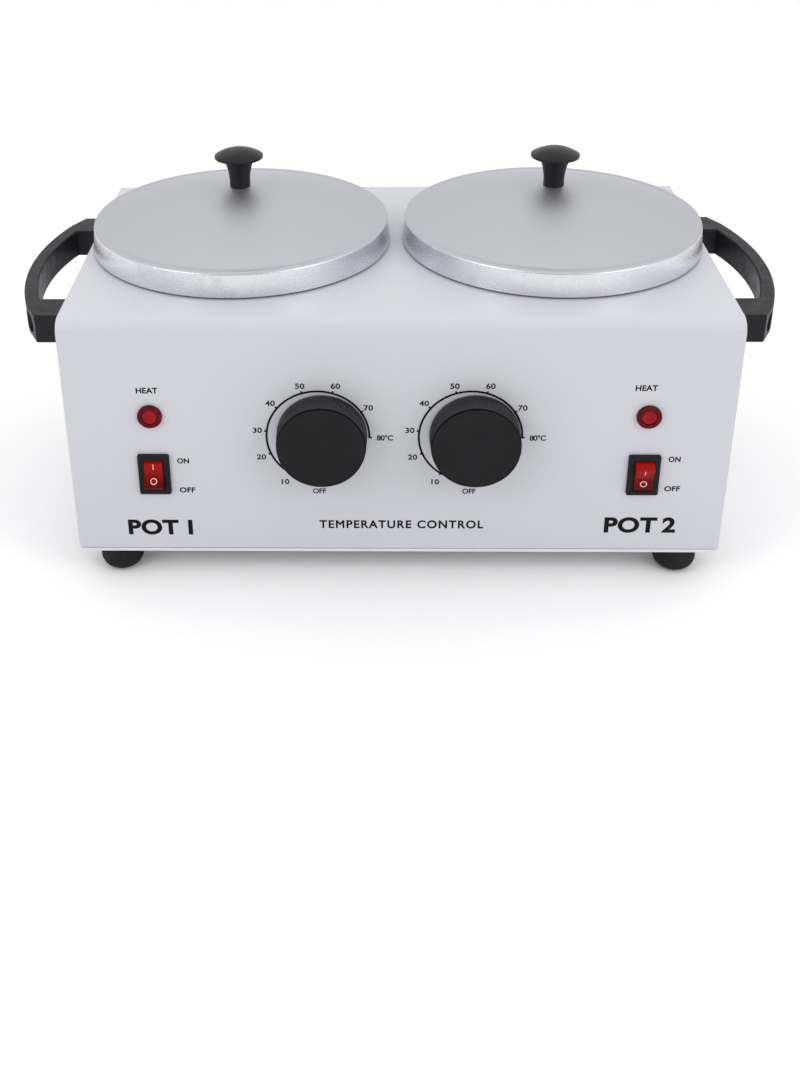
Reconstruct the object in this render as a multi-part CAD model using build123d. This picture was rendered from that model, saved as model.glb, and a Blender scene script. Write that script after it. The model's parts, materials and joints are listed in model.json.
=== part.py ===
"""Double pot wax warmer: a sheet steel case with two lift-out aluminium pots under lids,
two thermostat dials, two rocker switches, two pilot lamps and two side handles.

Millimetres, +Z up, front towards -Y, origin on the surface under the centre of the object.
"""
import os
from math import asin, cos, radians, sin, sqrt, tan

from build123d import *

# ---- driving dimensions ----
CASE_WIDTH = 310.0
CASE_DEPTH = 180.0
CASE_HEIGHT = 123.6
FRONT_FOLD = 7.0
REAR_FOLD = 2.6
SHEET = 1.0
FOOT_HEIGHT = 14.0
FOOT_RADIUS = 10.4
FOOT_X = 136.7
FOOT_Y = 79.0
TRAY_THICKNESS = 1.6
SEAM_GAP = 0.4

POT_X = 78.8
POT_Y = 9.8
LID_RADIUS = 75.6
LID_TOP_RADIUS = 74.4
LID_HEIGHT = 12.0
LID_LIFT = 1.0
LID_SHEET = 1.2
LID_FLAT_RADIUS = 70.0
LID_SEAT_RADIUS = 5.0
DOME_RISE = 16.0
DOME_BULGE = (37.9, 9.55)
LID_KNOB_HEIGHT = 19.7
LID_KNOB_RADIUS = 12.1
POT_RADIUS = 63.0
POT_WALL = 1.5
POT_RIM_RADIUS = 72.3
WELL_RADIUS = 66.0
WELL_WALL = 1.0
WELL_FLANGE_RADIUS = 71.5
WELL_DEPTH = 80.0

DIAL_X = 35.5
DIAL_HEIGHT = 66.0
DIAL_RADIUS = 20.7
DIAL_BASE_RADIUS = 21.2
CONTROL_REACH = 14.0
SWITCH_X = 115.3
SWITCH_HEIGHT = 44.3
LAMP_HEIGHT = 75.6

HANDLE_TOP = 114.6
HANDLE_THICKNESS = 14.3
HANDLE_HALF = 63.5
HANDLE_REACH = 31.5
HANDLE_CORNER_REACH = 16.2
HANDLE_SHOULDER = (21.8, 53.0)
HANDLE_EDGE = 0.8
GRIP_INNER_REACH = 25.1
GRIP_INNER_CORNER = (17.3, 44.0)

GLAND_X = 118.0
GLAND_HEIGHT = 30.0

# ---- derived levels and faces ----
TRAY_Z = FOOT_HEIGHT
TRAY_TOP = TRAY_Z + TRAY_THICKNESS
SHELL_Z = TRAY_TOP + SEAM_GAP
TOP_Z = TRAY_Z + CASE_HEIGHT
SIDE_X = CASE_WIDTH / 2
FRONT_Y = -CASE_DEPTH / 2
PANEL_INNER = FRONT_Y + SHEET
BACK_Y = CASE_DEPTH / 2
DIAL_Z = TRAY_Z + DIAL_HEIGHT
SWITCH_Z = TRAY_Z + SWITCH_HEIGHT
LAMP_Z = TRAY_Z + LAMP_HEIGHT
HANDLE_Z = TRAY_Z + HANDLE_TOP - HANDLE_THICKNESS / 2
GLAND_Z = TRAY_Z + GLAND_HEIGHT
LID_TOP = TOP_Z + LID_LIFT + LID_HEIGHT
LID_SEAT = LID_TOP + DOME_RISE
RIM_TOP = LID_TOP - LID_SHEET
WELL_FLOOR = TOP_Z - WELL_DEPTH

# ---- fixings ----
SCREW_RADIUS = 2.0
SCREW_HOLE = 2.2
SCREW_HEAD_RADIUS = 3.6
SCREW_HEAD_HEIGHT = 2.4
NUT_RADIUS = 4.0
NUT_HEIGHT = 3.2
SMALL_SCREW_RADIUS = 1.5
SMALL_SCREW_HOLE = 1.7
SMALL_HEAD_RADIUS = 2.7
SMALL_HEAD_HEIGHT = 1.8

# ---- hidden sheet work ----
FLANGE = 8.5
SHEET_GAP = 0.15
BASE_SCREW_X = SIDE_X - 5.2
BASE_SCREW_Y = 55.0
HANDLE_SCREW_Y = 53.7
HANDLE_POCKET_FLOOR = 11.8
HANDLE_POCKET_LENGTH = 14.0
HANDLE_POCKET_WIDTH = 9.4
HANDLE_POCKET_OFFSET = 0.3
DIAL_SCREW_SPAN = 14.0
FOOT_CORNER = 6.5
FOOT_BORE_DEPTH = 6.0

# ---- switch ----
BEZEL_WIDTH = 15.0
BEZEL_LENGTH = 21.6
BEZEL_HEIGHT = 2.0
SWITCH_BODY_WIDTH = 12.8
SWITCH_BODY_LENGTH = 18.8
SWITCH_BODY_DEPTH = 16.0
ROCKER_WIDTH = 8.8
ROCKER_ARC = 7.9
ROCKER_PIVOT = 0.5
ROCKER_WAIST = 3.0
ROCKER_TILT = 12.0

# ---- lamp ----
LAMP_RING_RADIUS = 5.8
LAMP_RING_HEIGHT = 2.0
LAMP_BODY_RADIUS = 4.9
LAMP_BODY_DEPTH = 16.0
LENS_RADIUS = 3.6
LENS_SINK = 0.4

# ---- dial fit ----
DIAL_GAP = 0.6
SHAFT_RADIUS = 3.0
RUNNING_GAP = 0.05
DIAL_WALL = 2.2
DIAL_FACE = 4.0
THERMOSTAT_RADIUS = 17.0
THERMOSTAT_DEPTH = 18.0
THERMOSTAT_PLATE = 1.5

# ---- heaters and sensing bulbs ----
BAND_GAP = 0.15
BAND_THICKNESS = 1.8
BAND_LOW = WELL_FLOOR + 8
BAND_HIGH = WELL_FLOOR + 40
BAND_MIDDLE = (BAND_LOW + BAND_HIGH) / 2
BAND_SPLIT = 8.0
BAND_LUG_REACH = 9.0
BAND_BOLT_OFFSET = 5.5
INSULATION_INNER = WELL_RADIUS + WELL_WALL + BAND_GAP + BAND_THICKNESS + 0.35
INSULATION_OUTER = 73.2
INSULATION_SPLIT = 24.0
BULB_RADIUS = 3.0
BULB_Z = WELL_FLOOR - WELL_WALL - BULB_RADIUS - 0.2
BULB_FRONT = -32.0
BULB_REAR = 32.0
CAPILLARY_RADIUS = 0.9

# ---- mains side ----
GLAND_THREAD = 6.0
GLAND_BORE = 3.2
GLAND_HEX = 9.0
GLAND_CAP = 7.4
EARTH_X = 60.0
EARTH_Y = 74.0
BLOCK_X = 90.0

# ---- pots and lid knobs ----
POT_FLOOR_RADIUS = 6.0
LID_EDGE = 1.4
LID_WASHER = 1.0
LID_WASHER_RADIUS = 4.8
KNOB_FOOT = 5.2
KNOB_WAIST = 5.55
KNOB_NECK = 7.0
KNOB_NECK_Z = 12.5
KNOB_CAP_Z = 14.2
KNOB_RIM_Z = 15.0
KNOB_EDGE_Z = 16.0
KNOB_BORE_DEPTH = 9.5


def save(node, *solids):
    """Write one sub-part, or a group of identical fasteners, as one STEP file."""
    shape = solids[0] if len(solids) == 1 else Compound(children=list(solids))
    export_step(shape, f"parts/{node}.step")


def save_pair(node, right_hand):
    """Write a right-hand piece and its mirror image on the left."""
    save(f"{node}_right", right_hand)
    save(f"{node}_left", mirror(right_hand, Plane.YZ))


def rod(radius, start, end):
    """A round bar from one point to another."""
    run = Vector(*end) - Vector(*start)
    return extrude(Plane(origin=start, z_dir=run) * Circle(radius), run.length)


def hex_bar(radius, start, end, bore):
    """A hexagonal nut whose bore clears its screw."""
    run = Vector(*end) - Vector(*start)
    section = RegularPolygon(radius, 6) - Circle(bore)
    return extrude(Plane(origin=start, z_dir=run) * section, run.length)


def block(low, high):
    """A box between two corners."""
    size = [b - a for a, b in zip(low, high)]
    return Pos(*low) * Box(*size, align=(Align.MIN, Align.MIN, Align.MIN))


def turned(points, x=0.0, y=0.0, arc=360.0):
    """A solid of revolution about the vertical through (x, y), from (radius, z) points."""
    face = make_face(Plane.XZ * Polyline(*points, close=True))
    return Pos(x, y, 0) * revolve(face, Axis.Z, arc)


def corners(x, y):
    """The four points of a rectangle about the origin."""
    return [(a * x, b * y) for a in (-1, 1) for b in (-1, 1)]


# ---- case ----
def case_prism(inset, bottom, half_width):
    """The case's outer form, inset on every face, with folded front and rear top edges."""
    height = TOP_Z - inset - bottom
    section = Rectangle(CASE_DEPTH - 2 * inset, height)
    for corner, radius in ((0, FRONT_FOLD), (-1, REAR_FOLD)):
        fold = section.vertices().group_by(Axis.Y)[-1].sort_by(Axis.X)[corner]
        section = fillet(fold, radius - inset)
    profile = Plane.YZ * Pos(0, bottom + height / 2) * section
    return extrude(profile, half_width, both=True)


def housing_wrap():
    shell = case_prism(0, SHELL_Z, SIDE_X) - case_prism(SHEET, SHELL_Z - SHEET, SIDE_X + 1)
    cuts = []
    for side in (-1, 1):
        x = side * POT_X
        cuts.append(rod(WELL_RADIUS + WELL_WALL + 0.5, (x, POT_Y, TOP_Z - 5), (x, POT_Y, TOP_Z + 5)))
        cuts += dial_cuts(side * DIAL_X)
        cuts.append(switch_hole(side * SWITCH_X))
        cuts.append(front_rod(LAMP_BODY_RADIUS + 0.2, side * SWITCH_X, LAMP_Z, -5, 5))
    cuts.append(rod(GLAND_THREAD + 0.2, (GLAND_X, BACK_Y - 5, GLAND_Z), (GLAND_X, BACK_Y + 5, GLAND_Z)))
    cuts += rear_vents()
    return shell - cuts


def front_rod(radius, x, z, inner, outer):
    """A round bar normal to the front panel, from depth inner to reach outer."""
    return rod(radius, (x, FRONT_Y - inner, z), (x, FRONT_Y - outer, z))


def dial_cuts(x):
    holes = [front_rod(SHAFT_RADIUS + 1.5, x, DIAL_Z, -5, 5)]
    for offset in (-DIAL_SCREW_SPAN, DIAL_SCREW_SPAN):
        holes.append(front_rod(SMALL_SCREW_HOLE, x + offset, DIAL_Z, -5, 5))
    return holes


def switch_hole(x):
    half_width = SWITCH_BODY_WIDTH / 2 + 0.2
    half_length = SWITCH_BODY_LENGTH / 2 + 0.2
    return block((x - half_width, FRONT_Y - 5, SWITCH_Z - half_length),
                 (x + half_width, FRONT_Y + 5, SWITCH_Z + half_length))


def rear_vents():
    slot = extrude(Plane.XZ * SlotOverall(44, 4), 10, both=True)
    return [Pos(x, BACK_Y, TRAY_Z + 45 + 9 * row) * slot for x in (-60, 0, 60) for row in range(5)]


def side_panel():
    """A flanged pan nested in the end of the wrap, its face flush with the wrap's edge."""
    inset = SHEET + SHEET_GAP
    solid = case_prism(inset, SHELL_Z, SIDE_X)
    hollow = case_prism(inset + SHEET, SHELL_Z + SHEET, SIDE_X - SHEET)
    keep = block((SIDE_X - FLANGE, -CASE_DEPTH, 0), (SIDE_X, CASE_DEPTH, 2 * CASE_HEIGHT))
    pan = (solid - hollow) & keep
    for end in (-1, 1):
        handle_y, base_y = end * HANDLE_SCREW_Y, end * BASE_SCREW_Y
        pan -= rod(SCREW_HOLE, (SIDE_X - 5, handle_y, HANDLE_Z), (SIDE_X + 5, handle_y, HANDLE_Z))
        pan -= rod(SCREW_HOLE, (BASE_SCREW_X, base_y, SHELL_Z - 1), (BASE_SCREW_X, base_y, SHELL_Z + 3))
    return pan


def base_tray():
    plate = block((-SIDE_X, FRONT_Y, TRAY_Z), (SIDE_X, BACK_Y, TRAY_TOP))
    plate = fillet(plate.edges().filter_by(Axis.Z), 2.0)
    lip_y = BACK_Y - SHEET - SHEET_GAP
    lip_x = SIDE_X - FLANGE - 2
    rear_lip = block((-lip_x, lip_y - SHEET, TRAY_TOP), (lip_x, lip_y, TRAY_TOP + 12))
    tray = plate + rear_lip + mirror(rear_lip, Plane.XZ)
    slot = extrude(SlotOverall(60, 4), 10, both=True)
    cuts = [Pos(x, y, TRAY_Z) * slot for x in (-POT_X, 0, POT_X) for y in range(-50, 51, 20)]
    cuts += [tray_drill(SCREW_HOLE, x, y) for x, y in corners(BASE_SCREW_X, BASE_SCREW_Y)]
    cuts += [tray_drill(SMALL_SCREW_HOLE, x, y) for x, y in corners(FOOT_X, FOOT_Y)]
    cuts.append(tray_drill(SCREW_HOLE, EARTH_X, EARTH_Y))
    return tray - cuts


def tray_drill(radius, x, y):
    return rod(radius, (x, y, TRAY_Z - 1), (x, y, TRAY_TOP + 1))


# ---- feet ----
def foot(x, y):
    """A rounded rubber foot with a counterbored screw hole."""
    body = rod(FOOT_RADIUS, (x, y, 0), (x, y, FOOT_HEIGHT))
    body = fillet(body.edges().group_by(Axis.Z)[0], FOOT_CORNER)
    body -= rod(SMALL_HEAD_RADIUS + 0.4, (x, y, -1), (x, y, FOOT_BORE_DEPTH))
    return body - rod(SMALL_SCREW_HOLE, (x, y, 0), (x, y, FOOT_HEIGHT + 1))


def pan_screw(start, end, radius, head_radius, head_height):
    """A pan head screw whose head is at start and whose shank runs to end."""
    run = (Vector(*end) - Vector(*start)).normalized()
    under_head = Vector(*start) + run * head_height
    head = rod(head_radius, start, tuple(under_head))
    top_edge = head.edges().filter_by(GeomType.CIRCLE).sort_by_distance(Vector(*start))[0]
    head = fillet(top_edge, head_height * 0.5)
    slot = Plane(origin=start, z_dir=run) * Box(2 * head_radius + 1, head_height * 0.35, head_height)
    return (head - slot) + rod(radius, tuple(under_head), end)


def small_screw(start, end):
    return pan_screw(start, end, SMALL_SCREW_RADIUS, SMALL_HEAD_RADIUS, SMALL_HEAD_HEIGHT)


def large_screw(start, end):
    return pan_screw(start, end, SCREW_RADIUS, SCREW_HEAD_RADIUS, SCREW_HEAD_HEIGHT)


def foot_screws():
    low = FOOT_BORE_DEPTH - SMALL_HEAD_HEIGHT
    return [small_screw((x, y, low), (x, y, TRAY_TOP + 5)) for x, y in corners(FOOT_X, FOOT_Y)]


def foot_nuts():
    return [hex_bar(3.2, (x, y, TRAY_TOP), (x, y, TRAY_TOP + 2.4), SMALL_SCREW_HOLE)
            for x, y in corners(FOOT_X, FOOT_Y)]


def base_screws():
    return [large_screw((x, y, TRAY_Z - SCREW_HEAD_HEIGHT), (x, y, SHELL_Z + 6))
            for x, y in corners(BASE_SCREW_X, BASE_SCREW_Y)]


# ---- handles ----
def handle():
    """A bowed moulded grip on two block feet, with a screw pocket in each foot's outer face."""
    x0 = SIDE_X
    shoulder_x, shoulder_y = HANDLE_SHOULDER
    inner_x, inner_y = GRIP_INNER_CORNER
    outer = [
        Line((x0, -HANDLE_HALF), (x0 + HANDLE_CORNER_REACH, -HANDLE_HALF)),
        Line((x0 + HANDLE_CORNER_REACH, -HANDLE_HALF), (x0 + shoulder_x, -shoulder_y)),
        ThreePointArc((x0 + shoulder_x, -shoulder_y), (x0 + HANDLE_REACH, 0), (x0 + shoulder_x, shoulder_y)),
        Line((x0 + shoulder_x, shoulder_y), (x0 + HANDLE_CORNER_REACH, HANDLE_HALF)),
        Line((x0 + HANDLE_CORNER_REACH, HANDLE_HALF), (x0, HANDLE_HALF)),
        Line((x0, HANDLE_HALF), (x0, inner_y)),
        Line((x0, inner_y), (x0 + inner_x, inner_y)),
        ThreePointArc((x0 + inner_x, inner_y), (x0 + GRIP_INNER_REACH, 0), (x0 + inner_x, -inner_y)),
        Line((x0 + inner_x, -inner_y), (x0, -inner_y)),
        Line((x0, -inner_y), (x0, -HANDLE_HALF)),
    ]
    grip = Pos(0, 0, HANDLE_Z) * extrude(make_face(outer), HANDLE_THICKNESS / 2, both=True)
    rims = grip.edges().group_by(Axis.Z)
    soft = [edge for edge in rims[0] + rims[-1] if edge.center().X > x0 + 0.1]
    grip = fillet(soft, HANDLE_EDGE)
    floor_x = x0 + HANDLE_POCKET_FLOOR
    pocket = extrude(Plane(origin=(floor_x, 0, HANDLE_Z), x_dir=(0, 1, 0), z_dir=(1, 0, 0))
                     * SlotOverall(HANDLE_POCKET_LENGTH, HANDLE_POCKET_WIDTH), HANDLE_REACH)
    for end in (-1, 1):
        y = end * HANDLE_SCREW_Y
        grip -= Pos(0, y - end * HANDLE_POCKET_OFFSET, 0) * pocket
        grip -= rod(SCREW_HOLE, (x0 - 1, y, HANDLE_Z), (floor_x + 1, y, HANDLE_Z))
    return grip


def handle_screws():
    head_x = SIDE_X + HANDLE_POCKET_FLOOR + SCREW_HEAD_HEIGHT
    tip_x = SIDE_X - SHEET - 6
    return [large_screw((side * head_x, y, HANDLE_Z), (side * tip_x, y, HANDLE_Z))
            for side, y in corners(1, HANDLE_SCREW_Y)]


def handle_nuts():
    near, far = SIDE_X - SHEET, SIDE_X - SHEET - NUT_HEIGHT
    return [hex_bar(NUT_RADIUS, (side * near, end * HANDLE_SCREW_Y, HANDLE_Z),
                    (side * far, end * HANDLE_SCREW_Y, HANDLE_Z), SCREW_HOLE) for side, end in corners(1, 1)]


# ---- wells and heaters ----
def heater_well(x):
    """A spun aluminium cup that hangs in the top panel by its flange."""
    outer = WELL_RADIUS + WELL_WALL
    floor = WELL_FLOOR - WELL_WALL
    cup = turned([(0, floor), (outer, floor), (outer, TOP_Z), (WELL_FLANGE_RADIUS, TOP_Z),
                  (WELL_FLANGE_RADIUS, TOP_Z + 1), (WELL_RADIUS, TOP_Z + 1),
                  (WELL_RADIUS, WELL_FLOOR), (0, WELL_FLOOR)], x, POT_Y)
    return cup


def open_ring(x, inner, outer, low, high, gap_angle):
    """A vertical ring with a gap that faces the rear."""
    ring = turned([(inner, low), (outer, low), (outer, high), (inner, high)], 0, 0, 360 - gap_angle)
    return Pos(x, POT_Y, 0) * Rot(0, 0, 90 + gap_angle / 2) * ring


def heating_band(x):
    """A mica band heater clamped round the well, with two bolt lugs at the rear."""
    inner = WELL_RADIUS + WELL_WALL + BAND_GAP
    outer = inner + BAND_THICKNESS
    band = open_ring(x, inner, outer, BAND_LOW, BAND_HIGH, BAND_SPLIT)
    gap = outer * sin(radians(BAND_SPLIT / 2))
    root = POT_Y + inner * cos(radians(BAND_SPLIT / 2)) + 0.2
    for side in (-1, 1):
        near, far = sorted((side * (gap - 0.6), side * (gap + 1.2)))
        lug = block((x + near, root, BAND_LOW + 6), (x + far, root + BAND_LUG_REACH, BAND_HIGH - 6))
        bolt_y = root + BAND_BOLT_OFFSET
        lug -= rod(SMALL_SCREW_HOLE, (x + near - 1, bolt_y, BAND_MIDDLE), (x + far + 1, bolt_y, BAND_MIDDLE))
        band += lug
    return band


def band_bolts():
    inner = WELL_RADIUS + WELL_WALL + BAND_GAP
    gap = (inner + BAND_THICKNESS) * sin(radians(BAND_SPLIT / 2))
    bolt_y = POT_Y + inner * cos(radians(BAND_SPLIT / 2)) + 0.2 + BAND_BOLT_OFFSET
    solids = []
    for side in (-1, 1):
        x = side * POT_X
        start = (x - gap - 1.2 - SMALL_HEAD_HEIGHT, bolt_y, BAND_MIDDLE)
        end = (x + gap + 5, bolt_y, BAND_MIDDLE)
        solids.append(small_screw(start, end))
        solids.append(hex_bar(2.8, (x + gap + 1.2, bolt_y, BAND_MIDDLE), (x + gap + 3.6, bolt_y, BAND_MIDDLE),
                              SMALL_SCREW_HOLE))
    return solids


def insulation(x):
    return open_ring(x, INSULATION_INNER, INSULATION_OUTER, BAND_LOW - 4, BAND_HIGH + 6, INSULATION_SPLIT)


# ---- thermostats ----
def thermostat_body(x):
    """A round thermostat on a mounting plate behind the panel, with a bushing for the spindle."""
    rear = PANEL_INNER + THERMOSTAT_PLATE + THERMOSTAT_DEPTH
    plate = block((x - 20, PANEL_INNER, DIAL_Z - 9), (x + 20, PANEL_INNER + THERMOSTAT_PLATE, DIAL_Z + 9))
    can = rod(THERMOSTAT_RADIUS - 5.5, (x, PANEL_INNER, DIAL_Z), (x, PANEL_INNER + 5, DIAL_Z))
    drum = rod(THERMOSTAT_RADIUS, (x, PANEL_INNER + 4.5, DIAL_Z), (x, rear, DIAL_Z))
    body = plate + can + drum
    for offset in (-6, 6):
        body += block((x + offset - 0.4, rear, DIAL_Z + 3), (x + offset + 0.4, rear + 8, DIAL_Z + 9.3))
    body -= front_rod(SHAFT_RADIUS + RUNNING_GAP, x, DIAL_Z, -12, 1)
    for offset in (-DIAL_SCREW_SPAN, DIAL_SCREW_SPAN):
        body -= front_rod(SMALL_SCREW_HOLE, x + offset, DIAL_Z, -4.6, 1)
    return body


def thermostat_screws():
    solids = []
    for x in (-DIAL_X, DIAL_X):
        for offset in (-DIAL_SCREW_SPAN, DIAL_SCREW_SPAN):
            start = (x + offset, FRONT_Y - SMALL_HEAD_HEIGHT, DIAL_Z)
            end = (x + offset, PANEL_INNER + THERMOSTAT_PLATE + 1.6, DIAL_Z)
            solids.append(small_screw(start, end))
    return solids


def capillary():
    """The right-hand sensing bulb under the well's floor and its fine tube to the thermostat."""
    rear = PANEL_INNER + THERMOSTAT_PLATE + THERMOSTAT_DEPTH
    start_z = DIAL_Z - 8
    route = FilletPolyline((DIAL_X, rear, start_z), (DIAL_X, rear + 9, start_z), (DIAL_X + 4, rear + 11, 46),
                           (DIAL_X + 24, rear + 15, 42), (POT_X, BULB_FRONT - 14, BULB_Z),
                           (POT_X, BULB_FRONT, BULB_Z), radius=4)
    tube = sweep(Plane(origin=route @ 0, z_dir=route % 0) * Circle(CAPILLARY_RADIUS), path=route)
    return tube + rod(BULB_RADIUS, (POT_X, BULB_FRONT, BULB_Z), (POT_X, BULB_REAR, BULB_Z))


def bulb_clip(x):
    """A strap that holds the bulb against the well's floor."""
    floor = WELL_FLOOR - WELL_WALL
    strap = block((x - 14, -5, BULB_Z - 5), (x + 14, 5, floor))
    return strap - block((x - 9, -6, BULB_Z - BULB_RADIUS - 0.2), (x + 9, 6, floor + 1))


def thermal_fuse(x):
    """A one-shot fuse in a flat bracket on the well's floor."""
    floor = WELL_FLOOR - WELL_WALL
    pad = block((x - 9, 36, floor - 2), (x + 9, 46, floor))
    return pad + rod(3.6, (x - 8, 41, floor - 4.6), (x + 8, 41, floor - 4.6))


# ---- switches ----
def switch_housing(x):
    bezel = block((x - BEZEL_WIDTH / 2, FRONT_Y - BEZEL_HEIGHT, SWITCH_Z - BEZEL_LENGTH / 2),
                  (x + BEZEL_WIDTH / 2, FRONT_Y, SWITCH_Z + BEZEL_LENGTH / 2))
    bezel = fillet(bezel.edges().filter_by(Axis.Y), 1.0)
    bezel = chamfer(bezel.faces().sort_by(Axis.Y)[0].edges(), 0.6)
    body = block((x - SWITCH_BODY_WIDTH / 2, FRONT_Y - 0.5, SWITCH_Z - SWITCH_BODY_LENGTH / 2),
                 (x + SWITCH_BODY_WIDTH / 2, FRONT_Y + SWITCH_BODY_DEPTH, SWITCH_Z + SWITCH_BODY_LENGTH / 2))
    half_width = ROCKER_WIDTH / 2 + 0.3
    half_length = ROCKER_ARC + 0.3
    cavity = block((x - half_width, FRONT_Y - 5, SWITCH_Z - half_length),
                   (x + half_width, FRONT_Y + 10.5, SWITCH_Z + half_length))
    return bezel + body - cavity


def switch_terminals():
    blades = []
    for side in (-1, 1):
        for offset in (-6.0, 0.0, 6.0):
            x = side * SWITCH_X
            blades.append(block((x - 2.4, FRONT_Y + SWITCH_BODY_DEPTH, SWITCH_Z + offset - 0.4),
                                (x + 2.4, FRONT_Y + SWITCH_BODY_DEPTH + 8, SWITCH_Z + offset + 0.4)))
    return blades


def rocker(x, tilt):
    """A see-saw button with a shallow V face, tilted about its pivot by the given angle."""
    slope = tan(radians(ROCKER_TILT))
    rise = ROCKER_WAIST + ROCKER_PIVOT
    root = sqrt((rise * slope) ** 2 + (1 + slope ** 2) * (ROCKER_ARC ** 2 - rise ** 2))
    tip = (root - rise * slope) / (1 + slope ** 2)
    tip_reach = rise + slope * tip
    heel_depth = 3.0
    heel = sqrt(ROCKER_ARC ** 2 - heel_depth ** 2)
    outline = [
        Polyline((-tip_reach, -tip), (-rise, 0), (-tip_reach, tip)),
        ThreePointArc((-tip_reach, tip), (0, ROCKER_ARC), (heel_depth, heel)),
        Polyline((heel_depth, heel), (6.0, 2.5), (6.0, -2.5), (heel_depth, -heel)),
        ThreePointArc((heel_depth, -heel), (0, -ROCKER_ARC), (-tip_reach, -tip)),
    ]
    button = extrude(Plane.YZ * make_face(outline), ROCKER_WIDTH / 2, both=True)
    return Pos(x, FRONT_Y + ROCKER_PIVOT, SWITCH_Z) * Rot(tilt, 0, 0) * button


# ---- pilot lamps ----
def lamp_body(x):
    ring = front_rod(LAMP_RING_RADIUS, x, LAMP_Z, 0, LAMP_RING_HEIGHT)
    ring = fillet(ring.edges().group_by(Axis.Y)[0], 0.8)
    barrel = front_rod(LAMP_BODY_RADIUS, x, LAMP_Z, -LAMP_BODY_DEPTH, 0.5)
    body = ring + barrel - front_rod(LENS_RADIUS + 0.1, x, LAMP_Z, -4, 5)
    for offset in (-2, 2):
        body += block((x + offset - 0.3, FRONT_Y + LAMP_BODY_DEPTH, LAMP_Z - 1.4),
                      (x + offset + 0.3, FRONT_Y + LAMP_BODY_DEPTH + 6, LAMP_Z + 1.4))
    return body


def lamp_lens(x):
    lens = front_rod(LENS_RADIUS, x, LAMP_Z, -4, LAMP_RING_HEIGHT - LENS_SINK)
    return fillet(lens.edges().group_by(Axis.Y)[0], 0.4)


def lamp_nuts():
    return [hex_bar(8.0, (x, PANEL_INNER, LAMP_Z), (x, PANEL_INNER + 2.5, LAMP_Z), LAMP_BODY_RADIUS + 0.15)
            for x in (-SWITCH_X, SWITCH_X)]


# ---- mains side ----
def cable_gland():
    """The rear cable gland: threaded tail, hexagon and rounded cap round an open bore."""
    inside = BACK_Y - SHEET - 8
    tail = rod(GLAND_THREAD, (GLAND_X, inside, GLAND_Z), (GLAND_X, BACK_Y, GLAND_Z))
    seat = Plane(origin=(GLAND_X, BACK_Y, GLAND_Z), z_dir=(0, 1, 0))
    hexagon = extrude(seat * RegularPolygon(GLAND_HEX, 6), 5)
    cap = rod(GLAND_CAP, (GLAND_X, BACK_Y + 5, GLAND_Z), (GLAND_X, BACK_Y + CONTROL_REACH, GLAND_Z))
    cap = fillet(cap.edges().group_by(Axis.Y)[-1], 3.0)
    bore = rod(GLAND_BORE, (GLAND_X, inside - 1, GLAND_Z), (GLAND_X, BACK_Y + 20, GLAND_Z))
    return tail + hexagon + cap - bore


def gland_nut():
    inner_face = BACK_Y - SHEET
    return hex_bar(9.5, (GLAND_X, inner_face - 4, GLAND_Z), (GLAND_X, inner_face, GLAND_Z), GLAND_THREAD + 0.15)


def terminal_block():
    body = block((BLOCK_X - 15, 64, TRAY_TOP), (BLOCK_X + 15, 80, TRAY_TOP + 11))
    for offset in (-10, 0, 10):
        x = BLOCK_X + offset
        body -= rod(1.8, (x, 60, TRAY_TOP + 4), (x, 84, TRAY_TOP + 4))
        body -= rod(2.0, (x, 68.5, TRAY_TOP + 4), (x, 68.5, TRAY_TOP + 12))
        body -= rod(2.0, (x, 75.5, TRAY_TOP + 4), (x, 75.5, TRAY_TOP + 12))
    return body


def earth_stud():
    return large_screw((EARTH_X, EARTH_Y, TRAY_Z - SCREW_HEAD_HEIGHT), (EARTH_X, EARTH_Y, TRAY_TOP + 10))


def earth_nut():
    top = TRAY_TOP + NUT_HEIGHT
    return hex_bar(NUT_RADIUS, (EARTH_X, EARTH_Y, TRAY_TOP), (EARTH_X, EARTH_Y, top), SCREW_HOLE)


# ---- pots and lids ----
def wax_pot(x):
    """A spun aluminium pot with a flat rim flange, standing on the well's floor."""
    rim_low = RIM_TOP - POT_WALL
    outer = turned([(0, WELL_FLOOR), (POT_RADIUS, WELL_FLOOR), (POT_RADIUS, rim_low),
                    (POT_RIM_RADIUS, rim_low), (POT_RIM_RADIUS, RIM_TOP), (0, RIM_TOP)], x, POT_Y)
    outer = fillet(outer.edges().group_by(Axis.Z)[0], POT_FLOOR_RADIUS)
    inside = rod(POT_RADIUS - POT_WALL, (x, POT_Y, WELL_FLOOR + POT_WALL), (x, POT_Y, RIM_TOP + 5))
    inside = fillet(inside.edges().group_by(Axis.Z)[0], POT_FLOOR_RADIUS - POT_WALL)
    return outer - inside


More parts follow.
